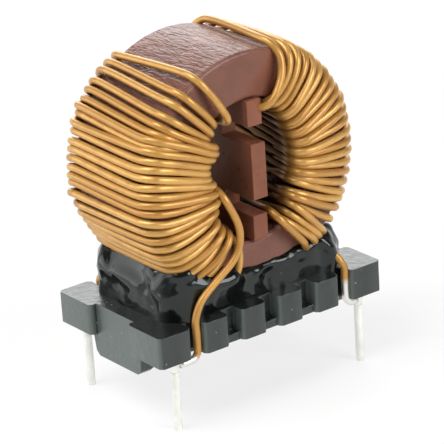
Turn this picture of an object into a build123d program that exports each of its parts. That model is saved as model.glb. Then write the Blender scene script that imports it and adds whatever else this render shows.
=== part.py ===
from build123d import *
import math
import os

# A two-winding ring choke that stands on edge on a pinned base.
# X runs along the base, Y from front to rear, Z up. The origin is the centre of the pin pattern
# on the seating plane, which is the underside of the two feet.

# Base moulding
base_length = 30.0
base_width = 18.5
base_height = 3.5
base_edge = 0.4
slot_width = 1.7
slot_depth = 1.7
slots_per_side = 5
web_height = 0.9
web_setback = 0.6
end_recess_width = 6.8
end_recess_depth = 0.9
foot_drop = 2.6
foot_length = 8.8
foot_thickness = 1.7
foot_taper = 0.45
foot_corner = 0.5

# Terminal pins
pin_margin_x = 2.5
pin_margin_y = 1.25
pin_diameter = 0.9
pin_reach = 5.4
pin_shank = 0.62
pin_embed = 2.2

# Core and its two-part case
case_diameter = 26.2
bore_share = 0.603
case_depth = 13.3
case_wall = 1.0
case_edge = 0.4
case_standoff = 0.8
core_clearance = 0.15
lid_clearance = 0.04

# Divider in the bore
divider_thickness = 1.9
divider_nose = 0.8
arm_setback = 0.3
centre_block_height = 6.2
notch_height = 1.85
notch_depth = 5.0
divider_clearance = 0.04

# Windings
wire_diameter = 0.9
wire_sides = 6
wire_seat = 0.03
rim_pitch_share = 1.26
bore_pitch_share = 1.03
layer_step_share = 1.1
outer_lift_share = 0.14
bend_share = 0.63
winding_slant = 4.0
left_top_angle = 119.5
left_bottom_angle = 243.0
right_top_angle = 108.0
right_bottom_angle = 239.0

# Front leads: angle round the core axis, and place between bore (0) and rim (1)
left_lead_angles = (242.0, 245.0, 241.5, 236.0)
left_lead_shares = (-0.2, 0.2, 0.6, 1.12)
right_lead_angles = (246.0, 244.0, 240.0, 234.0)
right_lead_shares = (-0.25, 0.15, 0.69, 1.3)
lead_rise = 0.4
lead_gap = 0.05

# Solder and potting
solder_height = 1.3
solder_radius = 1.05
solder_collar = 0.15
solder_sides = 8
potting_end_margin = 2.7
potting_side_margin = 1.95
potting_top_inset = 0.5
potting_end_height = 6.3
potting_mid_height = 3.5
potting_mid_share = 0.54
potting_shoulder_share = 0.82
potting_corner = 1.4
potting_clearance = 0.05
fit_clearance = 0.02
cut_overrun = 1.0

# Levels and radii that follow
base_bottom = foot_drop
base_top = base_bottom + base_height
case_radius = case_diameter / 2
bore_radius = case_radius * bore_share
axis_height = base_top + case_standoff + case_radius
core_axis = Axis((0, 0, axis_height), (0, -1, 0))
slot_line = base_width / 2 - slot_depth / 2
slot_pitch = base_length / (slots_per_side + 1)
pin_radius = pin_diameter / 2
pin_pitch_x = base_length - 2 * pin_margin_x
pin_pitch_y = base_width - 2 * pin_margin_y
pin_shoulder = base_bottom - solder_height
pin_socket = pin_shank + 2 * fit_clearance

wire_radius = wire_diameter / 2
layer_step = wire_diameter * layer_step_share
outer_lift = wire_diameter * outer_lift_share
bend = wire_diameter * bend_share
rim_line = case_radius + wire_radius + wire_seat
face_line = case_depth / 2 + wire_radius + wire_seat
bore_lines = (bore_radius - wire_radius - wire_seat, bore_radius - wire_radius - wire_seat - layer_step)
lead_line = face_line + layer_step + lead_gap
underside_line = base_bottom - wire_radius - lead_gap

least_span = min(left_bottom_angle - left_top_angle, right_bottom_angle - right_top_angle)
rim_pitch = wire_diameter * rim_pitch_share / rim_line
bore_pitch = wire_diameter * bore_pitch_share / (2 * bore_lines[1])
turn_pairs = int((math.radians(least_span) / max(rim_pitch, bore_pitch) + 1) / 2)

corner_names = {
    "front_left": (-1, -1),
    "front_right": (1, -1),
    "rear_left": (-1, 1),
    "rear_right": (1, 1),
}


def box_between(x_range, y_range, z_range):
    """A block from its lowest to its highest corner."""
    size = [high - low for low, high in (x_range, y_range, z_range)]
    block = Box(*size, align=(Align.MIN, Align.MIN, Align.MIN))
    return Pos(x_range[0], y_range[0], z_range[0]) * block


def turned(points):
    """A ring about the core axis from half its section, given as (radius, depth) points."""
    section = Plane.XY.offset(axis_height) * make_face(Polyline(*points, close=True))
    return revolve(section, core_axis)


def foot(side):
    """The tapered foot under one short end, level with the floor of the end recess."""
    outer = base_length / 2 - end_recess_depth
    half = foot_length / 2
    profile = make_face(Polyline(
        (-half, base_top - base_height / 2),
        (half, base_top - base_height / 2),
        (half, base_bottom),
        (half - foot_taper, 0),
        (foot_taper - half, 0),
        (-half, base_bottom),
        close=True,
    ))
    profile = chamfer(profile.vertices().sort_by(Axis.Y)[:2], foot_corner)
    inner = Plane.YZ.offset(side * (outer - foot_thickness))
    return extrude(inner * profile, amount=side * foot_thickness)


def base():
    """The moulded base: castellated long sides, recessed short ends, two feet and four pin holes."""
    plan = Rectangle(base_length, base_width)
    for side in (-1, 1):
        recess = Rectangle(2 * end_recess_depth, end_recess_width)
        plan -= Pos(side * base_length / 2, 0) * recess
        for index in range(slots_per_side):
            place = (index - (slots_per_side - 1) / 2) * slot_pitch
            plan -= Pos(place, side * base_width / 2) * Rectangle(slot_width, 2 * slot_depth)
    rim = [v for v in plan.vertices() if abs(abs(v.Y) - base_width / 2) < fit_clearance]
    ears = [v for v in plan.vertices() if abs(abs(v.X) - base_length / 2) < fit_clearance and v not in rim]
    plan = chamfer(rim + ears, base_edge)
    body = Pos(0, 0, base_bottom) * extrude(plan, amount=base_height)
    for side in (-1, 1):
        body += foot(side)
        inner = side * (base_width / 2 - slot_depth)
        outer = side * (base_width / 2 - web_setback)
        for index in range(1, slots_per_side - 1):
            place = (index - (slots_per_side - 1) / 2) * slot_pitch
            body += box_between(
                (place - slot_width / 2, place + slot_width / 2),
                sorted((inner, outer)),
                (base_bottom, base_bottom + web_height),
            )
    for side_x, side_y in corner_names.values():
        hole = Box(pin_socket, pin_socket, 2 * pin_embed)
        body -= Pos(side_x * pin_pitch_x / 2, side_y * pin_pitch_y / 2, base_bottom) * hole
    return body


def pin(side_x, side_y):
    """One terminal: a round cut end, and a square shank where it holds the wire end and sits in the base."""
    on_end = (Align.CENTER, Align.CENTER, Align.MIN)
    rod = Pos(0, 0, -pin_reach) * Cylinder(pin_radius, pin_shoulder + pin_reach, align=on_end)
    rod += Pos(0, 0, pin_shoulder) * Box(pin_shank, pin_shank, solder_height + pin_embed, align=on_end)
    return Pos(side_x * pin_pitch_x / 2, side_y * pin_pitch_y / 2, 0) * rod


def case_cup():
    """The open cup of the core case, with its mouth at the rear."""
    front = -case_depth / 2
    rear = case_depth / 2
    return turned([
        (bore_radius + case_edge, front),
        (case_radius - case_edge, front),
        (case_radius, front + case_edge),
        (case_radius, rear - case_edge),
        (case_radius - case_edge, rear),
        (case_radius - case_wall, rear),
        (case_radius - case_wall, front + case_wall),
        (bore_radius + case_wall, front + case_wall),
        (bore_radius + case_wall, rear),
        (bore_radius + case_edge, rear),
        (bore_radius, rear - case_edge),
        (bore_radius, front + case_edge),
    ])


def plain_ring(inner, outer, front, rear):
    """A ring of rectangular section about the core axis."""
    return turned([(inner, front), (outer, front), (outer, rear), (inner, rear)])


def case_lid():
    """The flat ring that closes the mouth of the cup."""
    rear = case_depth / 2
    inner = bore_radius + case_wall + lid_clearance
    outer = case_radius - case_wall - lid_clearance
    return plain_ring(inner, outer, rear - case_wall, rear)


def ring_core():
    """The magnetic ring inside the case."""
    inner = bore_radius + case_wall + core_clearance
    outer = case_radius - case_wall - core_clearance
    reach = case_depth / 2 - case_wall - core_clearance
    return plain_ring(inner, outer, -reach, reach)


def divider():
    """The upright plate across the bore, notched from both faces into two arms and a centre block."""
    half_thickness = divider_thickness / 2
    half_height = math.sqrt(bore_radius ** 2 - half_thickness ** 2) - divider_clearance
    nose = case_depth / 2 + divider_nose
    arm = nose - arm_setback
    block_half = centre_block_height / 2
    sides = (-half_thickness, half_thickness)
    plate = box_between(sides, (-arm, arm), (axis_height - half_height, axis_height + half_height))
    centre = (axis_height - block_half, axis_height + block_half)
    plate += box_between(sides, (-nose, nose), centre)
    for up in (-1, 1):
        near = axis_height + up * block_half
        far = near + up * notch_height
        for end in (-1, 1):
            floor = end * (nose - notch_depth)
            mouth = end * (nose + cut_overrun)
            gap_sides = (-half_thickness - cut_overrun, half_thickness + cut_overrun)
            plate -= box_between(gap_sides, sorted((floor, mouth)), sorted((near, far)))
    return plate


def around_core(side, angle, radius, depth):
    """A point given by its angle round the core axis. Angles of the right-hand half are mirrored."""
    turn = math.radians(angle)
    return Vector(-side * radius * math.cos(turn), depth, axis_height + radius * math.sin(turn))


def corner_ring(plane, radius, sides):
    """The corner points of a regular outline on a plane."""
    steps = [2 * math.pi * (index + 1 / 2) / sides for index in range(sides)]
    return [plane.from_local_coords((radius * math.cos(a), radius * math.sin(a), 0)) for a in steps]


def skinned(rings):
    """A solid with flat sides from ring to ring of corner points, closed at both ends."""
    skin = [Face(Wire.make_polygon(rings[0])), Face(Wire.make_polygon(rings[-1]))]
    for ring, onward in zip(rings, rings[1:]):
        for near in range(len(ring)):
            far = (near + 1) % len(ring)
            skin.append(Face(Wire.make_polygon([ring[near], ring[far], onward[far], onward[near]])))
    return Solid(Shell(skin))


def mitred_wire(points):
    """A wire of even section along a bent line, mitred at each bend."""
    runs = [(after - before).normalized() for before, after in zip(points, points[1:])]
    rings = [corner_ring(Plane(origin=points[0], z_dir=runs[0]), wire_radius, wire_sides)]
    for index, point in enumerate(points[1:]):
        run = runs[index]
        mitre = run + runs[min(index + 1, len(runs) - 1)]
        rings.append([corner + run * ((point - corner).dot(mitre) / run.dot(mitre)) for corner in rings[-1]])
    return skinned(rings)


def half_turn(side, angle, layer, end):
    """The four points that take a turn over one face, from rim to bore, at the front (-1) or rear (1)."""
    bore_line = bore_lines[layer]
    rim_depth = face_line + layer * outer_lift
    bore_depth = face_line + layer * layer_step
    profile = [
        (rim_line, rim_depth - bend),
        (rim_line - bend, rim_depth),
        (bore_line + bend, bore_depth),
        (bore_line, bore_depth - bend),
    ]
    return [around_core(side, angle, radius, end * depth) for radius, depth in profile]


def terminal_run(side, end):
    """The end of a wire: from beside its pin, along the underside and up through the slot beside it."""
    beside_pin = side * (pin_pitch_x / 2 - pin_radius - lead_gap)
    slot_place = side * slot_pitch * (slots_per_side - 1) / 2
    line = end * slot_line
    return [
        Vector(beside_pin, line, underside_line),
        Vector(slot_place + side * bend, line, underside_line),
        Vector(slot_place, line, underside_line + bend),
        Vector(slot_place, line, base_top + lead_rise),
    ]


def winding(side, top_angle, bottom_angle, lead_angles, lead_shares):
    """One winding: up from its rear pin in one layer, back down in the gaps, and off to its front pin."""
    step = (bottom_angle - top_angle) / (2 * turn_pairs - 1)
    climb = [(2 * pair, 0) for pair in range(turn_pairs)]
    descent = [(2 * pair + 1, 1) for pair in reversed(range(turn_pairs))]
    points = terminal_run(side, 1)
    rear_angle = bottom_angle + winding_slant + step
    points.append(around_core(side, rear_angle, rim_line, lead_line))
    for count, layer in climb + descent:
        front_angle = bottom_angle - count * step
        points += half_turn(side, rear_angle, layer, 1)[2 if count == 0 else 0:]
        points += reversed(half_turn(side, front_angle, layer, -1))
        rear_angle = front_angle + winding_slant
    points = points[:-3]
    for angle, share in zip(lead_angles, lead_shares):
        radius = bore_radius + share * (case_radius - bore_radius)
        points.append(around_core(side, angle, radius, -lead_line))
    points += reversed(terminal_run(side, -1))
    return mitred_wire(points)


def solder(side_x, side_y):
    """The solder fillet that joins a wire end to its pin under the base."""
    place = Pos(side_x * pin_pitch_x / 2, side_y * pin_pitch_y / 2, 0)
    joint = place * skinned([
        corner_ring(Plane.XY.offset(pin_shoulder), pin_radius + solder_collar, solder_sides),
        corner_ring(Plane.XY.offset(base_bottom), solder_radius, solder_sides),
    ])
    joint -= place * Box(pin_socket, pin_socket, 2 * base_bottom)
    room = wire_radius + fit_clearance
    beside = side_x * (pin_pitch_x / 2 - pin_radius - lead_gap)
    beyond = side_x * (pin_pitch_x / 2 - solder_radius - cut_overrun)
    return joint - box_between(
        sorted((beside + side_x * fit_clearance, beyond)),
        (side_y * slot_line - room, side_y * slot_line + room),
        (underside_line - room, base_bottom),
    )


def winding_room(side, top_angle, bottom_angle):
    """The sector that a winding sweeps, with a little room to spare. It reaches lower at the rear."""
    inner = bore_lines[1] - wire_diameter
    outer = rim_line + wire_radius + potting_clearance
    reach = face_line + layer_step + wire_radius + potting_clearance
    step = (bottom_angle - top_angle) / (2 * turn_pairs - 1)
    spare = math.degrees(wire_radius / bore_lines[0])
    span = bottom_angle - top_angle + 2 * spare
    room = []
    for front, rear, extra in ((-reach, 0, 0), (0, reach, winding_slant + step)):
        section = Plane.XY.offset(axis_height) * make_face(
            Polyline((inner, front), (outer, front), (outer, rear), (inner, rear), close=True))
        sector = revolve(section, core_axis, span + extra).rotate(core_axis, top_angle - spare)
        room.append(sector if side < 0 else mirror(sector, Plane.YZ))
    return room


def potting():
    """The poured mound that fixes the wound core to the base."""
    foot_half = base_length / 2 - potting_end_margin
    top_half = foot_half - potting_top_inset
    foot_width = base_width / 2 - potting_side_margin
    top_width = foot_width - potting_top_inset
    end_level = base_top + potting_end_height
    mid_level = base_top + potting_mid_height
    outline = make_face(Polyline(
        (-foot_half, base_top),
        (foot_half, base_top),
        (top_half, end_level),
        (top_half * potting_shoulder_share, end_level),
        (top_half * potting_mid_share, mid_level),
        (-top_half * potting_mid_share, mid_level),
        (-top_half * potting_shoulder_share, end_level),
        (-top_half, end_level),
        close=True,
    ))
    mound = extrude(Plane.XZ * outline, amount=foot_width, both=True)
    plan = Rectangle(2 * foot_half, 2 * foot_width)
    plan = chamfer(plan.vertices(), potting_corner)
    mound &= Pos(0, 0, base_top) * extrude(plan, amount=potting_end_height)
    slope = make_face(Polyline(
        (-foot_width, base_top),
        (foot_width, base_top),
        (top_width, end_level),
        (-top_width, end_level),
        close=True,
    ))
    mound &= extrude(Plane.YZ * slope, amount=foot_half, both=True)
    mound -= plain_ring(bore_radius, case_radius + fit_clearance, -case_depth / 2 - fit_clearance,
                        case_depth / 2 + fit_clearance)
    for sector in winding_room(-1, left_top_angle, left_bottom_angle):
        mound -= sector
    for sector in winding_room(1, right_top_angle, right_bottom_angle):
        mound -= sector
    return mound


parts = {
    "base": base(),
    "core_case_cup": case_cup(),
    "core_case_lid": case_lid(),
    "ring_core": ring_core(),
    "divider": divider(),
    "winding_left": winding(-1, left_top_angle, left_bottom_angle, left_lead_angles, left_lead_shares),
    "winding_right": winding(1, right_top_angle, right_bottom_angle, right_lead_angles, right_lead_shares),
    "potting": potting(),
}
for corner, (side_x, side_y) in corner_names.items():
    parts["pin_" + corner] = pin(side_x, side_y)
    parts["solder_" + corner] = solder(side_x, side_y)

os.makedirs("parts", exist_ok=True)
for name, solid in parts.items():
    export_step(solid, f"parts/{name}.step")
print(f"{len(parts)} nodes, {2 * turn_pairs} turns in each winding")
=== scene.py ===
# %% [markdown]
# A ring choke on a pinned base, of the kind used in power supplies.
# Two windings of amber enamelled wire sit on a brown cased ring, which stands on edge on a black
# moulded base and is fixed to it with poured resin.
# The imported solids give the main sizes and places. This lesson builds each visible piece again in
# that frame, with the round bends, soft edges and small irregularities of the real one.

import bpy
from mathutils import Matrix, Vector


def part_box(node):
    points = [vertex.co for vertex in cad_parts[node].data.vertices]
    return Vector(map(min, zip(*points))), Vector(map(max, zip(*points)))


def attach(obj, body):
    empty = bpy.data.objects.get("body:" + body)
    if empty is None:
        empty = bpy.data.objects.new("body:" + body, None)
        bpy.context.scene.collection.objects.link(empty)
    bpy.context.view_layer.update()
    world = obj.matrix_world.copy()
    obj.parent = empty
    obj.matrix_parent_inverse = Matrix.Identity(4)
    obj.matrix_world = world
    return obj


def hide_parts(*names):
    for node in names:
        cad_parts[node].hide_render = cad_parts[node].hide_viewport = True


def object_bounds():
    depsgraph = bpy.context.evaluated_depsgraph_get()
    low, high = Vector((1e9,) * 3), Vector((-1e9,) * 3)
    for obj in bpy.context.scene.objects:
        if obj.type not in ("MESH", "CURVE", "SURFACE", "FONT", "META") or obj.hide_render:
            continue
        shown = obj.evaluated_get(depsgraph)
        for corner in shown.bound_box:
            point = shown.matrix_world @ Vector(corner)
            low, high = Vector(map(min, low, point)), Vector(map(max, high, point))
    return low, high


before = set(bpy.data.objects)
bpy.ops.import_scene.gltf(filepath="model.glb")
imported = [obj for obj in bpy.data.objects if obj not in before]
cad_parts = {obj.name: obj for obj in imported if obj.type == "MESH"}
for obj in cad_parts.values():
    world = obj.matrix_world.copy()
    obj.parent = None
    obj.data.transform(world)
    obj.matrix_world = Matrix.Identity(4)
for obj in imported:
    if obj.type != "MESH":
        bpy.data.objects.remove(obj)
cad_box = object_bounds()
print("nodes:", ", ".join(sorted(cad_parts)))

# %% [markdown]
# The camera was fitted to the photograph. It looks from the front left, a little above the object,
# and leans slightly to one side. Its distance was chosen and its lens is long, which keeps upright
# edges nearly parallel. Its axes are worked out from three angles, which is easier to adjust than
# a rotation typed in by hand.

# %% Set the camera
import math
import bpy
from mathutils import Matrix, Vector, noise

MM = 0.001
camera_angles = (-36.16, 21.53, -3.72)
camera_distance = 300 * MM
camera_lens = 225.6
nearest_seen = 10 * MM
aim = Vector((0.71, 0, 12.14)) * MM
turn, tilt, lean = (math.radians(angle) for angle in camera_angles)
back = Vector((math.sin(turn) * math.cos(tilt), -math.cos(turn) * math.cos(tilt), math.sin(tilt)))
level = Vector((math.cos(turn), math.sin(turn), 0))
rise = back.cross(level)
right = level * math.cos(lean) + rise * math.sin(lean)
up = rise * math.cos(lean) - level * math.sin(lean)
camera = bpy.data.objects.new("camera", bpy.data.cameras.new("camera"))
camera.data.lens = camera_lens
camera.data.clip_start = nearest_seen
eye = Matrix.Translation(aim + back * camera_distance)
camera.matrix_world = eye @ Matrix((right, up, back)).transposed().to_4x4()
bpy.context.scene.collection.objects.link(camera)
bpy.context.scene.camera = camera
print("camera at", [round(value, 4) for value in camera.location])

# %% [markdown]
# The floor, the room and the finishes all need small sums made with nodes, or a change from one
# value to another. These helpers place such a node and take plain numbers and other nodes'
# outputs alike. Each node and link could be typed out, but that would bury what a surface does.

# %% Helpers that join nodes


def feed(tree, socket, value):
    """Sets a socket to a plain value, or links another node's output to it."""
    if isinstance(value, bpy.types.NodeSocket):
        tree.links.new(value, socket)
    else:
        socket.default_value = value


def calculated(tree, operation, *values):
    """The result of a math node."""
    node = tree.nodes.new("ShaderNodeMath")
    node.operation = operation
    for socket, value in zip(node.inputs, values):
        feed(tree, socket, value)
    return node.outputs[0]


def ramped(tree, value, start, stop, first, last):
    """Goes from first to last while the value goes from start to stop."""
    node = tree.nodes.new("ShaderNodeMapRange")
    labels = ("Value", "From Min", "From Max", "To Min", "To Max")
    for label, number in zip(labels, (value, start, stop, first, last)):
        feed(tree, node.inputs[label], number)
    return node.outputs[0]


print("node helpers:", feed.__name__, calculated.__name__, ramped.__name__)

# %% [markdown]
# The object stands on the tips of its pins on a white table. The floor is a plain pale sheet
# that takes a soft shadow. What the camera and mirror-like surfaces see of it is partly a glow
# of strength one, which is white on screen and adds no light to the object.

# %% Lay the floor
scene = bpy.context.scene
scene.view_settings.view_transform = "Standard"


def seen_directly(tree):
    """One for rays from the camera, from mirror-like surfaces and through clear ones, else zero."""
    path = tree.nodes.new("ShaderNodeLightPath")
    total = path.outputs["Is Camera Ray"]
    for name in ("Is Glossy Ray", "Is Transmission Ray"):
        total = calculated(tree, "MAXIMUM", total, path.outputs[name])
    return total


floor_reach = 2.0
floor_glow = 0.72
corners = [(x, y, cad_box[0].z) for x, y in (
    (-floor_reach, -floor_reach), (floor_reach, -floor_reach),
    (floor_reach, floor_reach), (-floor_reach, floor_reach))]
floor_mesh = bpy.data.meshes.new("table_top")
floor_mesh.from_pydata(corners, [], [(0, 1, 2, 3)])
floor = bpy.data.objects.new("table_top", floor_mesh)
scene.collection.objects.link(floor)

table_white = bpy.data.materials.new("table_white")
table_white.use_nodes = True
tree = table_white.node_tree
paper = tree.nodes["Principled BSDF"]
paper.inputs["Base Color"].default_value = (0.90, 0.90, 0.90, 1)
paper.inputs["Roughness"].default_value = 0.9
glow = tree.nodes.new("ShaderNodeEmission")
mix = tree.nodes.new("ShaderNodeMixShader")
feed(tree, mix.inputs[0], calculated(tree, "MULTIPLY", seen_directly(tree), floor_glow))
feed(tree, mix.inputs[1], paper.outputs[0])
feed(tree, mix.inputs[2], glow.outputs[0])
feed(tree, tree.nodes["Material Output"].inputs[0], mix.outputs[0])
floor_mesh.materials.append(table_white)
print("floor at", round(cad_box[0].z, 5))

# %% [markdown]
# The room is white near the floor and has a dark ceiling, and its near side, where the camera
# stands, is dim. Glossy things show all of that. The light that it casts on the object is weak
# and even, so that the lamps shape the object and the room only fills the shadows.

# %% Surround it with a white room
room_light = 0.07
ceiling_level = 0.15
near_level = 0.20
world = bpy.data.worlds.new("white_room")
world.use_nodes = True
scene.world = world
tree = world.node_tree
room = tree.nodes["Background"]
room.inputs["Color"].default_value = (1, 1, 1, 1)
direction = tree.nodes.new("ShaderNodeTexCoord")
axes = tree.nodes.new("ShaderNodeSeparateXYZ")
feed(tree, axes.inputs[0], direction.outputs["Generated"])
overhead = ramped(tree, axes.outputs["Z"], 0.05, 0.60, 1.0, ceiling_level)
near_side = ramped(tree, axes.outputs["Y"], -0.40, 0.20, near_level, 1.0)
shown = calculated(tree, "MULTIPLY", overhead, near_side)
feed(tree, room.inputs["Strength"], ramped(tree, seen_directly(tree), 0, 1, room_light, shown))
print("room light", room_light, "with a ceiling of", ceiling_level, "and a near side of", near_level)

# %% [markdown]
# Four soft lamps light the object, as in a product photograph: a main one overhead on the left,
# a large one low behind on the right, another low behind on the left, and one in front on the
# right. The one behind on the right matters most for the look: the camera sees it mirrored in
# every surface that faces up, which gives the grey sheen on the case and on the bare tops of the
# base.

# %% Hang the lamps


def hang_lamp(name, place, size, power):
    lamp = bpy.data.objects.new(name, bpy.data.lights.new(name, "AREA"))
    lamp.data.shape = "SQUARE"
    lamp.data.size = size
    lamp.data.energy = power
    lamp.location = place
    lamp.rotation_euler = (aim - lamp.location).to_track_quat("-Z", "Y").to_euler()
    scene.collection.objects.link(lamp)
    print(name, "at", place, "power", power)


hang_lamp("main_lamp", (-0.24, 0.00, 0.42), 0.30, 2.0)
hang_lamp("back_lamp", (0.27, 0.37, 0.25), 0.42, 1.4)
hang_lamp("left_lamp", (-0.36, 0.30, 0.12), 0.45, 1.0)
hang_lamp("right_lamp", (0.14, -0.44, 0.24), 0.30, 1.9)

# %% [markdown]
# Several finishes share the same small effects, so each effect is a node group with its own
# inputs. Mottle gives a slow change from place to place, Grain a fine moulded roughness for a
# bump, and Specks a few pale dust grains. Facing says how squarely a surface faces along X or Y.

# %% Build the shared surface effects


def new_group(name, inputs, outputs):
    group = bpy.data.node_groups.new(name, "ShaderNodeTree")
    for label, value in inputs.items():
        socket = group.interface.new_socket(label, in_out="INPUT", socket_type="NodeSocketFloat")
        socket.default_value = value
    for label in outputs:
        group.interface.new_socket(label, in_out="OUTPUT", socket_type="NodeSocketFloat")
    start = group.nodes.new("NodeGroupInput")
    end = group.nodes.new("NodeGroupOutput")
    coords = group.nodes.new("ShaderNodeTexCoord")
    return group, start, end, coords


mottle, start, end, coords = new_group("Mottle", {"Per Metre": 300, "Low": 0.0, "High": 1.0}, ["Value"])
cloud = mottle.nodes.new("ShaderNodeTexNoise")
cloud.inputs["Detail"].default_value = 3
feed(mottle, cloud.inputs["Vector"], coords.outputs["Object"])
feed(mottle, cloud.inputs["Scale"], start.outputs["Per Metre"])
spread = ramped(mottle, cloud.outputs["Fac"], 0.3, 0.7, start.outputs["Low"], start.outputs["High"])
feed(mottle, end.inputs["Value"], spread)

grain, start, end, coords = new_group("Grain", {"Per Metre": 6000}, ["Height"])
sand = grain.nodes.new("ShaderNodeTexNoise")
sand.inputs["Detail"].default_value = 5
sand.inputs["Roughness"].default_value = 0.65
feed(grain, sand.inputs["Vector"], coords.outputs["Object"])
feed(grain, sand.inputs["Scale"], start.outputs["Per Metre"])
feed(grain, end.inputs["Height"], sand.outputs["Fac"])

specks, start, end, coords = new_group("Specks", {"Per Metre": 900, "Size": 0.1, "Share": 0.3}, ["Mask"])
cells = specks.nodes.new("ShaderNodeTexVoronoi")
pick = specks.nodes.new("ShaderNodeSeparateColor")
feed(specks, cells.inputs["Vector"], coords.outputs["Object"])
feed(specks, cells.inputs["Scale"], start.outputs["Per Metre"])
feed(specks, pick.inputs[0], cells.outputs["Color"])
dot = calculated(specks, "LESS_THAN", cells.outputs["Distance"], start.outputs["Size"])
few = calculated(specks, "LESS_THAN", pick.outputs[0], start.outputs["Share"])
feed(specks, end.inputs["Mask"], calculated(specks, "MULTIPLY", dot, few))

facing, start, end, coords = new_group("Facing", {}, ["Along X", "Along Y"])
axes = facing.nodes.new("ShaderNodeSeparateXYZ")
feed(facing, axes.inputs[0], coords.outputs["Normal"])
for axis in "XY":
    feed(facing, end.inputs["Along " + axis], calculated(facing, "ABSOLUTE", axes.outputs[axis]))
print("groups:", [group.name for group in bpy.data.node_groups])

# %% [markdown]
# A finish starts from a Principled shader. Plain numbers go straight onto its sockets, and only
# what changes over the surface is linked: colour between two tones, roughness, and a bump.
# These helpers keep each finish below to a few lines.

# %% Helpers for finishes


def new_finish(name, **plain):
    material = bpy.data.materials.new(name)
    material.use_nodes = True
    shader = material.node_tree.nodes["Principled BSDF"]
    for label, value in plain.items():
        shader.inputs[label.replace("_", " ")].default_value = value
    return material, material.node_tree, shader


def effect(tree, group, output, **values):
    node = tree.nodes.new("ShaderNodeGroup")
    node.node_tree = group
    for label, value in values.items():
        node.inputs[label.replace("_", " ")].default_value = value
    return node.outputs[output]


def blend_tones(tree, mask, low, high):
    """A colour between two tones, each a colour or an output that gives one."""
    node = tree.nodes.new("ShaderNodeMix")
    node.data_type = "RGBA"
    feed(tree, node.inputs[0], mask)
    # A Mix node keeps sockets for every kind of value. These are the ones for colours.
    first_colour, second_colour, result = 6, 7, 2
    for index, tone in ((first_colour, low), (second_colour, high)):
        feed(tree, node.inputs[index], (*tone, 1) if isinstance(tone, tuple) else tone)
    return node.outputs[result]


def roughen(tree, shader, per_metre, low, high):
    rough = effect(tree, mottle, "Value", Per_Metre=per_metre, Low=low, High=high)
    feed(tree, shader.inputs["Roughness"], rough)


def add_bump(tree, shader, height, depth, strength):
    node = tree.nodes.new("ShaderNodeBump")
    node.inputs["Strength"].default_value = strength
    node.inputs["Distance"].default_value = depth
    feed(tree, node.inputs["Height"], height)
    feed(tree, shader.inputs["Normal"], node.outputs[0])


print("finish helpers:", effect.__name__, blend_tones.__name__, roughen.__name__, add_bump.__name__)

# %% [markdown]
# The base is a black moulding with a smooth skin. Seen flat across its top it acts almost like a
# mirror: bare stretches show the bright room and those in front of the resin show the dark lump.
# So the colour is nearly black and a low roughness does the work. Its sides that face along X
# catch more light than its front, and Facing paints that light into them as a greyer colour. The poured
# resin is blacker and glassy. It needs no coat, because a plain gloss already mirrors the white table.

# %% Finish the base and the resin
green_sheen = (0.93, 1.0, 0.965, 1)
base_black, tree, shader = new_finish("base_black", Specular_IOR_Level=0.74, Specular_Tint=green_sheen)
tone = effect(tree, mottle, "Value", Per_Metre=420)
dust = effect(tree, specks, "Mask", Per_Metre=900, Size=0.09, Share=0.35)
moulded = blend_tones(tree, tone, (0.010, 0.012, 0.011), (0.016, 0.019, 0.018))
# Painted light: the sides facing along X get a greyer colour for the stronger light that falls on them.
black = blend_tones(tree, effect(tree, facing, "Along X"), moulded, (0.082, 0.100, 0.092))
feed(tree, shader.inputs["Base Color"], blend_tones(tree, dust, black, (0.17, 0.18, 0.17)))
roughen(tree, shader, 900, 0.16, 0.27)
add_bump(tree, shader, effect(tree, grain, "Height", Per_Metre=1100), 0.22 * MM, 0.5)

resin_black, tree, shader = new_finish("resin_black", Specular_IOR_Level=0.5, Specular_Tint=green_sheen)
tone = effect(tree, mottle, "Value", Per_Metre=500)
dust = effect(tree, specks, "Mask", Per_Metre=700, Size=0.07, Share=0.12)
black = blend_tones(tree, tone, (0.003, 0.004, 0.004), (0.008, 0.010, 0.009))
feed(tree, shader.inputs["Base Color"], blend_tones(tree, dust, black, (0.10, 0.10, 0.10)))
roughen(tree, shader, 800, 0.07, 0.17)
add_bump(tree, shader, effect(tree, grain, "Height", Per_Metre=700), 0.12 * MM, 0.3)
print("finishes:", base_black.name, resin_black.name)

# %% [markdown]
# The core's case is a chocolate brown moulding. Round the rim its skin is drawn into fine
# wrinkles that run along the axis, while the flat faces are smooth, so the wrinkles are a noise
# stretched along Y and faded out where the surface faces along Y. The divider is a duller brown
# without them. The ring inside doesn't show, and is finished as dull grey ferrite.

# %% Finish the case, the divider and the core


def wrinkles(tree):
    """The height of folds that run along Y and fade on the flat faces."""
    coords = tree.nodes.new("ShaderNodeTexCoord")
    stretch = tree.nodes.new("ShaderNodeMapping")
    stretch.inputs["Scale"].default_value = (2100, 520, 2100)
    creases = tree.nodes.new("ShaderNodeTexNoise")
    creases.inputs["Scale"].default_value = 1.0
    creases.inputs["Detail"].default_value = 3
    creases.inputs["Distortion"].default_value = 0.6
    feed(tree, stretch.inputs[0], coords.outputs["Object"])
    feed(tree, creases.inputs["Vector"], stretch.outputs[0])
    fade = ramped(tree, effect(tree, facing, "Along Y"), 0.2, 0.6, 1.0, 0.12)
    return calculated(tree, "MULTIPLY", creases.outputs["Fac"], fade)


def brown_plastic(name, wrinkled, low, high, gloss):
    material, tree, shader = new_finish(name, Specular_IOR_Level=gloss)
    dust = effect(tree, specks, "Mask", Per_Metre=650, Size=0.06, Share=0.14)
    brown = blend_tones(tree, effect(tree, mottle, "Value", Per_Metre=260), low, high)
    feed(tree, shader.inputs["Base Color"], blend_tones(tree, dust, brown, (0.42, 0.30, 0.25)))
    roughen(tree, shader, 1500, 0.26, 0.40)
    if wrinkled:
        add_bump(tree, shader, wrinkles(tree), 0.5 * MM, 0.8)
    else:
        add_bump(tree, shader, effect(tree, grain, "Height", Per_Metre=4200), 0.05 * MM, 0.4)
    return material


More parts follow.
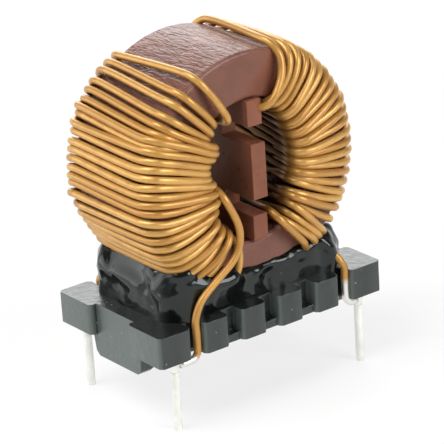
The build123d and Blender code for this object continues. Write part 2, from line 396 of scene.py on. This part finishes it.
case_brown = brown_plastic("case_brown", True, (0.150, 0.051, 0.031), (0.210, 0.076, 0.046), 0.5)
divider_brown = brown_plastic("divider_brown", False, (0.178, 0.062, 0.034), (0.248, 0.092, 0.053), 0.22)

ferrite_grey, tree, shader = new_finish("ferrite_grey", Metallic=0.2)
tone = effect(tree, mottle, "Value", Per_Metre=1200)
grey = blend_tones(tree, tone, (0.045, 0.045, 0.05), (0.075, 0.075, 0.08))
feed(tree, shader.inputs["Base Color"], grey)
roughen(tree, shader, 2500, 0.55, 0.75)
add_bump(tree, shader, effect(tree, grain, "Height", Per_Metre=3800), 0.08 * MM, 0.6)
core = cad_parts["ring_core"]
core.data.materials.clear()
core.data.materials.append(ferrite_grey)
print("finishes:", case_brown.name, divider_brown.name, ferrite_grey.name)

# %% [markdown]
# The wire is copper under amber enamel. It looks like soft gold: the copper gives coloured
# highlights and the enamel a thin clear one on top. Each turn is a little lighter or darker
# than the next, which the mesh carries as a number called tone. Where an end is stripped and
# dipped in tin, a second number called tinned turns the gold into pale metal. A third number
# paints shade onto the wire inside the bore, where the ring shades it: there the gold is painted near
# black and its clear highlight is taken off.

# %% Finish the wire, the pins and the solder


def carried(tree, label):
    """A number that the mesh carries at its points."""
    node = tree.nodes.new("ShaderNodeAttribute")
    node.attribute_name = label
    return node.outputs["Fac"]


wire_gold, tree, shader = new_finish("wire_gold", Specular_IOR_Level=0.5, Coat_Roughness=0.25)
tinned, painted_bore_shade = carried(tree, "tinned"), carried(tree, "painted_bore_shade")
gold = blend_tones(tree, carried(tree, "tone"), (0.495, 0.248, 0.052), (0.655, 0.378, 0.104))
scuff = effect(tree, mottle, "Value", Per_Metre=650, Low=-0.35, High=0.55)
worn = blend_tones(tree, scuff, gold, (0.475, 0.223, 0.057))
# Painted shade: inside the bore the wire's colour is blended towards near black in place of the ring's
# shadow.
bore_shaded = blend_tones(tree, painted_bore_shade, worn, (0.075, 0.032, 0.010))
feed(tree, shader.inputs["Base Color"], blend_tones(tree, tinned, bore_shaded, (0.80, 0.79, 0.75)))
# The painted shade also makes the wire fully metallic and takes its coat off, which removes the clear
# highlight there.
tin_or_shade = calculated(tree, "MAXIMUM", tinned, painted_bore_shade)
feed(tree, shader.inputs["Metallic"], ramped(tree, tin_or_shade, 0, 1, 0.42, 1.0))
feed(tree, shader.inputs["Coat Weight"], ramped(tree, painted_bore_shade, 0, 1, 0.2, 0.0))
roughen(tree, shader, 1100, 0.30, 0.44)
add_bump(tree, shader, effect(tree, grain, "Height", Per_Metre=2600), 0.03 * MM, 0.5)


def tin_finish(name, metal, low_rough, high_rough, depth):
    material, tree, shader = new_finish(name, Metallic=metal)
    tone = effect(tree, mottle, "Value", Per_Metre=900)
    pale = blend_tones(tree, tone, (0.84, 0.84, 0.78), (0.95, 0.95, 0.90))
    feed(tree, shader.inputs["Base Color"], pale)
    roughen(tree, shader, 2200, low_rough, high_rough)
    add_bump(tree, shader, effect(tree, grain, "Height", Per_Metre=1800), depth, 0.5)
    return material


pin_tin = tin_finish("pin_tin", 0.6, 0.34, 0.48, 0.01 * MM)
solder_bright = tin_finish("solder_bright", 1.0, 0.14, 0.30, 0.10 * MM)
print("finishes:", wire_gold.name, pin_tin.name, solder_bright.name)

# %% [markdown]
# Every piece goes through one helper, which makes the object, gives it its finish, ties it to
# the part's body and hides the solids that it stands for. It prints the piece's number of faces.

# %% Helper that places a piece


def place_piece(name, mesh, finish, nodes):
    piece = bpy.data.objects.new(name, mesh)
    scene.collection.objects.link(piece)
    mesh.materials.clear()
    mesh.materials.append(finish)
    mesh.shade_smooth()
    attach(piece, "root")
    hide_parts(*nodes)
    print(name, "has", len(mesh.polygons), "faces")
    return piece


# %% [markdown]
# The base and the divider are flat-sided mouldings whose solids have the right shape but knife
# edges. A copy of the solid's mesh is cleaned of its triangles and every sharp edge is rolled
# over with a bevel, as a mould leaves it. Weighted normals keep the flat faces flat.
# The divider sits about half a millimetre off centre, as it does in the photograph.

# %% Round the edges of the base and the divider
import bmesh

same_point = 0.002 * MM
same_plane = math.radians(1)


def softened(node, name, finish, width, steps, least_angle, aside=0.0):
    shell = bmesh.new()
    shell.from_mesh(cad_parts[node].data)
    for vert in shell.verts:
        vert.co.x += aside
    bmesh.ops.remove_doubles(shell, verts=shell.verts, dist=same_point)
    bmesh.ops.dissolve_limit(shell, angle_limit=same_plane, verts=shell.verts, edges=shell.edges)
    limit = math.radians(least_angle)
    sharp = [edge for edge in shell.edges if len(edge.link_faces) == 2 and edge.calc_face_angle() > limit]
    bmesh.ops.bevel(shell, geom=sharp, offset=width, offset_type="OFFSET", segments=steps, profile=0.5,
                    affect="EDGES", clamp_overlap=True)
    mesh = bpy.data.meshes.new(name)
    shell.to_mesh(mesh)
    shell.free()
    piece = place_piece(name, mesh, finish, [node])
    smooth = piece.modifiers.new("flat_faces", "WEIGHTED_NORMAL")
    smooth.keep_sharp = True


softened("base", "base_moulding", base_black, 0.42 * MM, 4, 60)
softened("divider", "bore_divider", divider_brown, 0.10 * MM, 2, 25, 0.55 * MM)

# %% [markdown]
# The case is turned: a cup and the ring that closes its mouth at the rear. A turned piece is one
# outline swept round an axis, and its corners are rounded in the outline before it is swept.
# The outer sizes are read from the solids, so the outline can't drift from them.

# %% Turn the case
import numpy as np


def rounded(points, radius, steps=4):
    """The outline with each of its corners replaced by a small bend of about the given radius."""
    out = []
    for index, corner in enumerate(points):
        before, after = points[index - 1], points[(index + 1) % len(points)]
        here = Vector(corner)
        start = here + (Vector(before) - here).normalized() * radius
        stop = here + (Vector(after) - here).normalized() * radius
        for step in range(steps + 1):
            t = step / steps
            out.append(start * (1 - t) ** 2 + here * 2 * t * (1 - t) + stop * t ** 2)
    return out


def turned_mesh(name, outline, centre, around, sides, closed=True):
    """Sweeps an outline of (distance from the axis, place along it) round an axis through centre."""
    side = around.orthogonal().normalized()
    across = around.cross(side)
    count = len(outline)
    points = []
    for turn_index in range(sides):
        a = 2 * math.pi * turn_index / sides
        out = side * math.cos(a) + across * math.sin(a)
        points += [centre + out * p[0] + around * p[1] for p in outline]
    faces = []
    for turn_index in range(sides):
        near, far = turn_index * count, (turn_index + 1) % sides * count
        for index in range(count if closed else count - 1):
            step = (index + 1) % count
            faces.append((near + index, near + step, far + step, far + index))
    if not closed:
        faces.append(tuple(turn_index * count for turn_index in range(sides)))
        faces.append(tuple(turn_index * count + count - 1 for turn_index in reversed(range(sides))))
    mesh = bpy.data.meshes.new(name)
    mesh.from_pydata(points, [], faces)
    shell = bmesh.new()
    shell.from_mesh(mesh)
    bmesh.ops.recalc_face_normals(shell, faces=shell.faces)
    shell.to_mesh(mesh)
    shell.free()
    return mesh


bore_share = 0.603
case_wall = 1.0 * MM
case_edge, lid_edge = 0.45 * MM, 0.12 * MM
case_sides = 192
along_y = Vector((0, 1, 0))
low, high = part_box("core_case_cup")
case_centre = (low + high) / 2
case_radius, case_half = (high.z - low.z) / 2, (high.y - low.y) / 2
bore_radius = bore_share * case_radius
outer_wall, inner_wall = case_radius - case_wall, bore_radius + case_wall
cup_floor = case_wall - case_half
cup_skin = rounded([
    (bore_radius, case_half), (bore_radius, -case_half), (case_radius, -case_half),
    (case_radius, case_half), (outer_wall, case_half), (outer_wall, cup_floor),
    (inner_wall, cup_floor), (inner_wall, case_half)], case_edge)
cup_mesh = turned_mesh("case_cup", cup_skin, case_centre, along_y, case_sides)
place_piece("case_cup", cup_mesh, case_brown, ["core_case_cup"])
low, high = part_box("core_case_lid")
lid_outer = (high.z - low.z) / 2
lid_inner = bore_radius + case_radius - lid_outer
lid_skin = rounded([
    (lid_inner, low.y), (lid_outer, low.y), (lid_outer, high.y), (lid_inner, high.y)], lid_edge)
lid_mesh = turned_mesh("case_lid", lid_skin, case_centre, along_y, case_sides)
place_piece("case_lid", lid_mesh, case_brown, ["core_case_lid"])

# %% [markdown]
# Each winding is a single wire. It comes up from its rear pin, climbs the ring in one layer with
# gaps at the bore, then comes back down over it, each turn sinking into the gap between two of
# the first layer, and leaves for its front pin.
# Hand-laid turns don't lie straight: a turn crosses the rim, the face and the bore at somewhat
# different angles, and swings into the bore some way off its wall. Each side has a short table of
# that: the angles at the middle of the face, the front rim, the bore and the rear rim, and the
# distance from the bore's wall in millimetres. The turns between are worked out from it.

# %% Work out where the turns lie
import random

wire_radius = 0.42 * MM
clearance = 0.03 * MM
rim_line = case_radius + wire_radius + clearance
face_line = case_half + wire_radius + clearance
bore_line = bore_radius - wire_radius - clearance
left_start, right_start = 252.5, 234.5
left_steps = [8.5, 7.0] + [4.85] * 17 + [2.55, 2.3, 2.4, 2.45, 4.4, 6.5, 6.2, 10.0]
right_steps = [2.0, 2.0, 4.5, 4.8, 5.7, 4.5, 5.0] + [5.27] * 18
left_middles = [left_start - sum(left_steps[:count]) for count in range(len(left_steps) + 1)]
right_middles = [right_start - sum(right_steps[:count]) for count in range(len(right_steps) + 1)]
left_lay = [
    (117.7, 118.8, 115.5, 122.0, 0.0),
    (127.7, 128.2, 125.5, 126.5, 0.1),
    (134.0, 133.8, 133.5, 131.0, 0.2),
    (140.4, 140.0, 138.0, 136.9, 0.4),
    (144.9, 144.6, 140.0, 141.2, 0.9),
    (147.3, 149.0, 142.6, 145.4, 1.1),
    (149.7, 151.8, 145.0, 149.0, 1.3),
    (152.0, 154.8, 148.0, 152.7, 1.4),
    (154.5, 157.2, 150.5, 156.2, 1.6),
    (162.0, 163.4, 166.0, 162.0, 1.9),
    (176.0, 175.0, 184.0, 172.8, 2.4),
    (188.5, 184.6, 196.6, 182.4, 2.2),
    (193.3, 188.8, 200.5, 186.6, 2.0),
    (203.0, 199.0, 208.5, 197.8, 1.4),
    (214.0, 209.0, 219.5, 207.0, 0.7),
    (232.0, 225.5, 235.5, 222.5, 0.3),
    (252.5, 243.5, 249.0, 240.0, 0.0),
]
right_lay = [
    (111.0, 105.0, 101.5, 109.0, 0.0),
    (117.0, 113.5, 111.0, 117.5, 0.2),
    (125.0, 124.0, 122.5, 128.0, 0.5),
    (150.0, 150.0, 150.0, 152.0, 1.3),
    (180.0, 180.0, 180.0, 181.0, 1.6),
    (206.0, 204.5, 206.0, 206.0, 1.5),
    (211.0, 207.5, 217.0, 209.0, 1.3),
    (221.2, 218.8, 224.4, 220.0, 1.0),
    (226.0, 226.0, 226.5, 226.0, 0.6),
    (230.5, 229.8, 234.0, 229.5, 0.4),
    (234.5, 233.0, 242.0, 232.0, 0.3),
]
print(len(left_middles), "left turns from", left_middles[0], "to", round(left_middles[-1], 1))
print(len(right_middles), "right turns from", right_middles[0], "to", round(right_middles[-1], 1))

# %% [markdown]
# A turn over one face is nine points from the rim to the bore. Stiff wire can't follow a sharp
# corner, so it goes round the rim in a wide bend and bulges off the face, and loose says by how
# much. How deep a turn of the second layer sinks follows from the gap below it: two wires side
# by side hold a third up by the rest of their diameter, and a little more in practice.

# %% Shape one turn and the ends of the wire
bedding = 1.12
lead_line = 8.40 * MM


def on_ring(side, angle, radius, depth):
    """A point by its angle round the core's axis. The right half is the mirror of the left."""
    a = math.radians(angle)
    return case_centre + Vector((-side * radius * math.cos(a), depth, radius * math.sin(a)))


def over_face(side, end, angles, lift, loose, rim_lift, stand):
    """The points of a run from the rim to the bore, given its angles at the rim, middle and bore."""
    rim_angle, mid_angle, bore_angle = angles
    rim = rim_line + rim_lift
    wall = bore_line - lift
    bore = bore_line - 0.35 * lift - max(stand, 0.65 * lift)
    bulge = loose * MM
    route = [
        (0.00, rim + 0.22 * MM, face_line - 2.10 * MM),
        (0.06, rim - 0.03 * MM, face_line - 0.90 * MM),
        (0.19, rim - 0.86 * MM, face_line - 0.02 * MM + 0.2 * bulge),
        (0.34, rim - 2.00 * MM, face_line + 0.19 * MM + 0.6 * bulge + 0.10 * lift),
        (0.55, (rim + bore) / 2, face_line + 0.14 * MM + bulge + 0.45 * lift),
        (0.80, bore + 1.30 * MM, face_line + 0.05 * MM + 0.75 * bulge + 0.90 * lift),
        (0.92, bore + 0.44 * MM, face_line - 0.32 * MM + 0.3 * bulge + lift),
        (0.99, bore + 0.08 * MM, face_line - 1.15 * MM + lift),
        (1.00, bore + 0.25 * (wall - bore), face_line - 2.60 * MM + 0.6 * lift),
    ]
    # This much sag takes the run through the middle angle when it is halfway.
    sag = 4 * mid_angle - 2 * (rim_angle + bore_angle)
    points = []
    for t, radius, depth in route:
        angle = rim_angle + t * (bore_angle - rim_angle) + sag * t * (1 - t)
        points.append(on_ring(side, angle, radius, end * depth))
    return points


def sink(step):
    """How far a turn of the second layer stands above the first, for a given angle between turns."""
    gap = math.radians(step) * bore_line
    return math.sqrt(max(0, (2 * wire_radius) ** 2 - gap ** 2)) * bedding


def terminal(side, end, slot_x):
    """The end of the wire: from its pin along the underside, then up through the slot beside it."""
    low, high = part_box("pin_front_right" if end < 0 else "pin_rear_right")
    pin_x = side * (low.x + high.x) / 2
    route = [
        (pin_x - side * 0.50 * MM, 2.10), (pin_x - side * 1.3 * MM, 2.10),
        (slot_x + side * 0.55 * MM, 2.18), (slot_x + side * 0.08 * MM, 2.68),
        (slot_x, 3.6), (slot_x, 5.2), (slot_x, 6.4)]
    return [Vector((x, end * lead_line, z * MM)) for x, z in route]


print("wire of radius", round(wire_radius / MM, 2), "mm runs", round(rim_line / MM, 2), "mm from the axis")

# %% [markdown]
# Now the runs are strung together, front and rear in turn, up the first layer and down the
# second. Neighbouring turns wander by a few tenths of a degree, drawn from a fixed seed.
# Single turns are raised off the rim, two on the left are tucked flat under their neighbours, and
# the left winding has slack at its rear rim. The leads are short lists of places in millimetres.

# %% Lay the turns as lists of points
rear_slot = 10.0 * MM
first_lag, rear_lag = 5.0, 2.0
loose_least, loose_spread = 0.26, 0.16
wander = 0.45
layer_lift = 0.06 * MM
rear_stand_share = 0.4
slack_angles, slack_shares = (117, 140, 195, 212), (0.3, 1, 1, 0)


def wound(side, middles, lay, lead, slot_x, raised, tucked, slack, seed):
    """The points of one whole wire, each with its turn number."""
    rng = random.Random(seed)
    turns = len(middles)
    known = np.array(lay)
    rims, bores, rears, stands = (np.interp(middles, known[:, 0], known[:, row]) for row in (1, 2, 3, 4))
    route = [(point, -1) for point in terminal(side, 1, side * rear_slot)]
    rear_rim, rear_bore, rear_lift = rears[0] + first_lag, bores[0] + first_lag, 0.0
    route.append((on_ring(side, rear_rim, rim_line, face_line + 1.1 * MM), -1))
    climb = [(count, 0) for count in range(0, turns, 2)]
    descent = [(count, 1) for count in range(turns - 1, 0, -2)]
    for number, (count, layer) in enumerate(climb + descent):
        near, far = max(count - 1, 0), min(count + 1, turns - 1)
        off_rim = raised.get(count, 0) * MM
        lift = layer * max(sink((bores[near] - bores[far]) / 2), 2 * off_rim)
        loose = (loose_least + loose_spread * rng.random()) * (count not in tucked)
        shift = [rng.uniform(-wander, wander) for _ in range(5)]
        rim_lift = layer * layer_lift + off_rim
        stand = stands[count] * MM
        rear_angles = (rear_rim + shift[0], (rear_rim + rear_bore) / 2, rear_bore + shift[1])
        rear_run = over_face(side, 1, rear_angles, lift, loose, rear_lift, rear_stand_share * stand)
        front_angles = (rims[count] + shift[2], middles[count] + shift[3], bores[count] + shift[4])
        front_run = over_face(side, -1, front_angles, lift, loose, rim_lift, stand)
        joins_lead = 3 if number == 0 else 0
        route += [(point, number) for point in rear_run[joins_lead:]]
        if number < turns - 1:
            route += [(point, number) for point in reversed(front_run)]
        rear_slack = slack * np.interp(middles[count], slack_angles, slack_shares) * MM
        rear_rim, rear_bore, rear_lift = rears[count], bores[count] + rear_lag, rim_lift + rear_slack
    route += [(Vector(place) * MM, turns) for place in lead]
    return route + [(point, turns) for point in reversed(terminal(side, -1, slot_x))]


left_lead = [
    (-5.9, 0.5, 17.6), (-5.3, -4.0, 19.3), (-4.95, -6.7, 19.4), (-4.65, -8.0, 18.5),
    (-4.2, -8.3, 17.4), (-3.42, -8.35, 15.6), (-3.2, -8.4, 14.4), (-3.5, -8.45, 12.75),
    (-4.5, -8.45, 11.45), (-5.9, -8.4, 10.4), (-7.7, -8.35, 9.15), (-8.9, -8.4, 8.1)]
right_lead = [
    (2.9, -3.0, 14.6), (2.2, -6.6, 14.9), (2.55, -7.9, 14.1), (3.75, -8.2, 12.6), (5.5, -8.0, 10.6),
    (6.4, -7.2, 9.6), (7.6, -6.7, 8.9), (9.0, -6.9, 8.5), (9.75, -7.8, 7.9), (10.25, -8.4, 6.9)]
left_raised, right_raised = {11: 0.25, 19: 0.25, 21: 0.35}, {16: 0.2}
left_route = wound(
    -1, left_middles, left_lay, left_lead, -9.65 * MM, left_raised, tucked=(20, 22), slack=0.55, seed=11)
right_route = wound(
    1, right_middles, right_lay, right_lead, 10.5 * MM, right_raised, tucked=(), slack=0.0, seed=23)
print("points:", len(left_route), "left,", len(right_route), "right")

# %% [markdown]
# The wire itself is a tube along a smooth line through those points. Blender's curves can do
# this too, but a mesh built ring by ring can carry the finish's three numbers along the wire.
# The line's speed at each point follows the distances to its neighbours, so that close points
# at a bend and far ones on a straight both stay smooth. Each ring is turned as little as
# possible from the last, which keeps the tube free of twist.

# %% Draw the two wires
ring_spacing = 0.42 * MM
# Painted shade inside the bore: how far behind the face it takes to reach full darkness, and how dark that
# is.
bore_shade_reach, most_bore_shade = 2.4 * MM, 0.9
tin_blend = 0.35 * MM


def smooth_line(points, spacing):
    """Dense points on a smooth line through the given ones, and the stretch that each lies on."""
    p = np.array(points)
    gap = np.maximum(np.linalg.norm(np.diff(p, axis=0), axis=1), 1e-6) ** 0.5
    slope = np.diff(p, axis=0) / gap[:, None]
    speed = np.empty_like(p)
    weighed = slope[:-1] * gap[1:, None] + slope[1:] * gap[:-1, None]
    speed[1:-1] = weighed / (gap[1:] + gap[:-1])[:, None]
    speed[0], speed[-1] = slope[0], slope[-1]
    dense, stretch = [], []
    for index in range(len(p) - 1):
        count = max(2, int(np.ceil(gap[index] ** 2 / spacing)))
        t = np.arange(count)[:, None] / count
        leaving = (2 * t ** 3 - 3 * t ** 2 + 1) * p[index]
        leaving_bend = (t ** 3 - 2 * t ** 2 + t) * gap[index] * speed[index]
        arriving = (3 * t ** 2 - 2 * t ** 3) * p[index + 1]
        arriving_bend = (t ** 3 - t ** 2) * gap[index] * speed[index + 1]
        dense.append(leaving + leaving_bend + arriving + arriving_bend)
        stretch += [index] * count
    return np.vstack(dense + [p[-1:]]), stretch + [len(p) - 2]


def wire_mesh(name, route, tinned_below, sides=12):
    line, stretch = smooth_line([point for point, _ in route], ring_spacing)
    run = np.gradient(line, axis=0)
    run /= np.linalg.norm(run, axis=1)[:, None]
    across = np.cross(run[0], (0, 0, 1.0))
    points, tone, tinned, painted_bore_shade = [], [], [], []
    shades = random.Random(5)
    shade_of = [shades.random() for _ in range(route[-1][1] + 2)]
    ring = 2 * np.pi * np.arange(sides) / sides
    for index, centre in enumerate(line):
        across = across - run[index] * (across @ run[index])
        across /= np.linalg.norm(across)
        other = np.cross(run[index], across)
        spokes = np.cos(ring)[:, None] * across + np.sin(ring)[:, None] * other
        points.append(centre + wire_radius * spokes)
        tone += [shade_of[route[stretch[index]][1]]] * sides
        # Painted shade: inside the bore each ring is painted darker the deeper it lies behind the face.
        inside = np.hypot(centre[0] - case_centre.x, centre[2] - case_centre.z) < bore_radius
        deep = (face_line - abs(centre[1])) / bore_shade_reach
        painted_bore_shade += [most_bore_shade * inside * min(1.0, max(0.0, deep))] * sides
        below = (tinned_below(centre) - centre[2]) / tin_blend
        tinned += [min(1.0, max(0.0, below))] * sides
    count = len(line)
    grid = np.arange(count * sides).reshape(count, sides)
    beside = np.roll(grid, -1, 1)
    quads = np.stack([grid[:-1], beside[:-1], beside[1:], grid[1:]], -1).reshape(-1, 4)
    faces = quads.tolist() + [grid[0].tolist()[::-1], grid[-1].tolist()]
    mesh = bpy.data.meshes.new(name)
    mesh.from_pydata(np.vstack(points).tolist(), [], faces)
    for label, values in (("tone", tone), ("tinned", tinned), ("painted_bore_shade", painted_bore_shade)):
        mesh.attributes.new(label, "FLOAT", "POINT").data.foreach_set("value", values)
    return mesh


tinned_end, tinned_lead = 2.5 * MM, 5.0 * MM
left_mesh = wire_mesh("wire_left", left_route, lambda p: tinned_end)
place_piece("wire_left", left_mesh, wire_gold, ["winding_left"])
right_mesh = wire_mesh("wire_right", right_route, lambda p: tinned_lead if p[1] < 0 else tinned_end)
place_piece("wire_right", right_mesh, wire_gold, ["winding_right"])

# %% [markdown]
# The resin was poured round the foot of the wound ring and set as a glassy lump with steep sides:
# high at the ends, where it holds the windings, and lower between them. It is built like a loaf
# from slices along X, each with a square, round-shouldered outline, whose height and half width
# come from short tables in millimetres and close up at the two ends.

# %% Shape the resin
resin_reach = 12.25
slice_x = [-12.3, -11.7, -11.0, -9.5, -8.0, -6.0, -2.0, 2.0, 6.0, 8.0, 9.5, 11.0, 12.3]
slice_top = [10.1, 11.0, 11.8, 12.3, 11.6, 10.2, 9.8, 9.8, 9.9, 10.6, 11.0, 10.8, 9.8]
slice_half = [6.1, 6.7, 7.2, 7.8, 7.7, 7.3, 7.15, 7.15, 7.2, 7.5, 7.9, 7.0, 5.3]
shoulder_x, shoulder_bend = (-11, -9, 7, 10), (0.30, 0.22, 0.22, 0.42)
foot_level = 5.98
end_square, end_close = 16, 0.07


def resin_mesh(name, ring=150):
    points = []
    shares = np.linspace(0, 0.93, 26)
    tips = resin_reach * (1 - shares ** (1 / end_close)) ** (1 / end_square)
    places = [*-tips, *np.linspace(-tips[-1], tips[-1], 140)[1:-1], *tips[::-1]]
    for x in places:
        close = max(0, 1 - abs(x / resin_reach) ** end_square) ** end_close
        half = np.interp(x, slice_x, slice_half) * close
        top = foot_level + (np.interp(x, slice_x, slice_top) - foot_level) * close ** 0.6
        shoulder = np.interp(x, shoulder_x, shoulder_bend)
        for angle in np.linspace(0, np.pi, ring):
            y = -half * np.sign(np.cos(angle)) * abs(np.cos(angle)) ** shoulder
            z = foot_level + (top - foot_level) * np.sin(angle) ** shoulder
            points.append((x, y, z))
    grid = np.arange(len(places) * ring).reshape(len(places), ring)
    quads = np.stack([grid[:-1, :-1], grid[1:, :-1], grid[1:, 1:], grid[:-1, 1:]], -1)
    mesh = bpy.data.meshes.new(name)
    mesh.from_pydata((np.array(points) * MM).tolist(), [], quads.reshape(-1, 4).tolist())
    return mesh


mound = resin_mesh("resin_mound")
print("resin before its folds:", len(mound.vertices), "points")

# %% [markdown]
# Poured resin sets with folds and drips. A sculpted mesh would do too, but a few named bumps can
# be read and moved. The lump is pushed in and out along its normals by three slow ripples, by
# long folds between two places, and by single dimples and drips round one place. Each row ends
# with a width and a push in millimetres. A little smoothing then blends them.

# %% Fold and dimple the resin
ripples = [
    (0.24, (0.36, 0.36, 0.36), (0, 0, 0)),
    (0.20, (0.9, 0.9, 0.9), (7, 3, 1)),
    (0.16, (0.22, 0.4, 0.8), (0, 0, 0)),
]
folds = [
    ((-12.0, 4.5, 9.7), (-12.2, -2.2, 9.2), 1.1, 0.45),
    ((-12.0, -1.4, 11.4), (-12.2, -5.0, 7.2), 0.7, -0.35),
    ((-11.8, -3.4, 11.0), (-11.6, -6.2, 7.4), 0.8, 0.25),
    ((-10.6, -7.4, 9.6), (-7.4, -7.6, 9.0), 0.6, -0.25),
    ((-6.0, -7.2, 6.7), (3.0, -7.2, 6.9), 0.5, 0.3),
    ((8.2, -7.6, 10.2), (10.8, -7.8, 6.4), 0.7, 0.45),
]
dimples = [
    ((1.2, -7.2, 7.9), 0.75, -0.45),
    ((11.9, -6.4, 8.3), 0.8, 0.5),
    ((11.2, -7.0, 10.6), 0.8, 0.4),
    ((-9.0, -7.6, 7.4), 1.1, 0.35),
    ((6.6, -7.2, 8.6), 0.9, 0.3),
    ((-7.2, -7.6, 9.3), 1.5, 0.8),
    ((-5.0, -7.3, 9.0), 1.4, 0.8),
    ((-3.6, -7.2, 9.2), 1.2, 0.8),
]
still_below, free_above = 6.0, foot_level + 0.35


def near_line(place, start, end):
    """The distance from a place to a straight line between two others."""
    start, run = Vector(start), Vector(end) - Vector(start)
    share = min(1, max(0, (place - start).dot(run) / run.length_squared))
    return (place - start - run * share).length


def push_of(place):
    """How far the surface at a place moves along its normal."""
    push = 0
    for amount, scale, offset in ripples:
        push += amount * noise.noise(place * Vector(scale) + Vector(offset))
    for start, end, width, depth in folds:
        push += depth * math.exp(-(near_line(place, start, end) / width) ** 2)
    for centre, width, depth in dimples:
        push += depth * math.exp(-((place - Vector(centre)).length / width) ** 2)
    return push * min(1, max(0, (place.z - still_below) / 0.5))


shell = bmesh.new()
shell.from_mesh(mound)
bmesh.ops.remove_doubles(shell, verts=shell.verts, dist=0.001 * MM)
bmesh.ops.recalc_face_normals(shell, faces=shell.faces)
shell.normal_update()
moves = [vert.normal * push_of(vert.co / MM) * MM for vert in shell.verts]
for vert, move in zip(shell.verts, moves):
    vert.co += move
free = [vert for vert in shell.verts if vert.co.z > free_above * MM]
for _ in range(3):
    bmesh.ops.smooth_vert(
        shell, verts=free, factor=0.5, use_axis_x=True, use_axis_y=True, use_axis_z=True)
for vert in shell.verts:
    vert.co.z = max(vert.co.z, foot_level * MM)
shell.to_mesh(mound)
shell.free()
place_piece("resin_mound", mound, resin_black, ["potting"])

# %% [markdown]
# The four pins are tinned round wire with a plain cut end, and each wire end is soldered to its
# pin under the base. The solder climbs both, so its outline is hollow, like a small tent.
# Both are turned outlines, and the solder is made a little uneven afterwards.

# %% Turn the pins and the solder
upright = Vector((0, 0, 1))
flat = Vector((1, 1, 0))
pin_edge = 0.12 * MM
shank_foot, shank_start, shank_share = 1.3 * MM, 1.5 * MM, 0.9
pin_sides, solder_sides = 28, 36
solder_reach, solder_core, solder_dip = 1.02 * MM, 0.3 * MM, 0.05 * MM
solder_grip, solder_hollow, solder_uneven = 1.04, 2.2, 0.12
lumps_per_mm = 1.3
for corner in ("front_left", "front_right", "rear_left", "rear_right"):
    low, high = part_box("pin_" + corner)
    radius = (high.x - low.x) / 2
    axis_foot = Vector(((low.x + high.x) / 2, (low.y + high.y) / 2, 0))
    pin_skin = [
        (radius - pin_edge, low.z), (radius - 0.3 * pin_edge, low.z + 0.3 * pin_edge),
        (radius, low.z + pin_edge), (radius, 0.0), (radius, shank_foot),
        (radius * shank_share, shank_start), (radius * shank_share, high.z)]
    pin_mesh = turned_mesh("terminal_" + corner, pin_skin, axis_foot, upright, pin_sides, closed=False)
    place_piece("terminal_" + corner, pin_mesh, pin_tin, ["pin_" + corner])
    low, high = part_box("solder_" + corner)
    inner = radius * solder_grip
    tent = [(solder_core, low.z + solder_dip)]
    for t in np.linspace(0, 1, 12):
        tent.append((inner + (solder_reach - inner) * t ** solder_hollow, low.z + (high.z - low.z) * t))
    tent.append((solder_core, high.z))
    tent_mesh = turned_mesh("joint_" + corner, tent, axis_foot, upright, solder_sides, closed=False)
    for vert in tent_mesh.vertices:
        away = (vert.co - axis_foot) * flat
        vert.co += away * solder_uneven * noise.noise(vert.co / MM * lumps_per_mm)
    place_piece("joint_" + corner, tent_mesh, solder_bright, ["solder_" + corner])

# %% [markdown]
# The box of the solids is printed in millimetres. The visual model has to stay inside the
# box of the solids, give or take a little for soft things.

print("solids", [round(v / MM, 2) for c in cad_box for v in c])
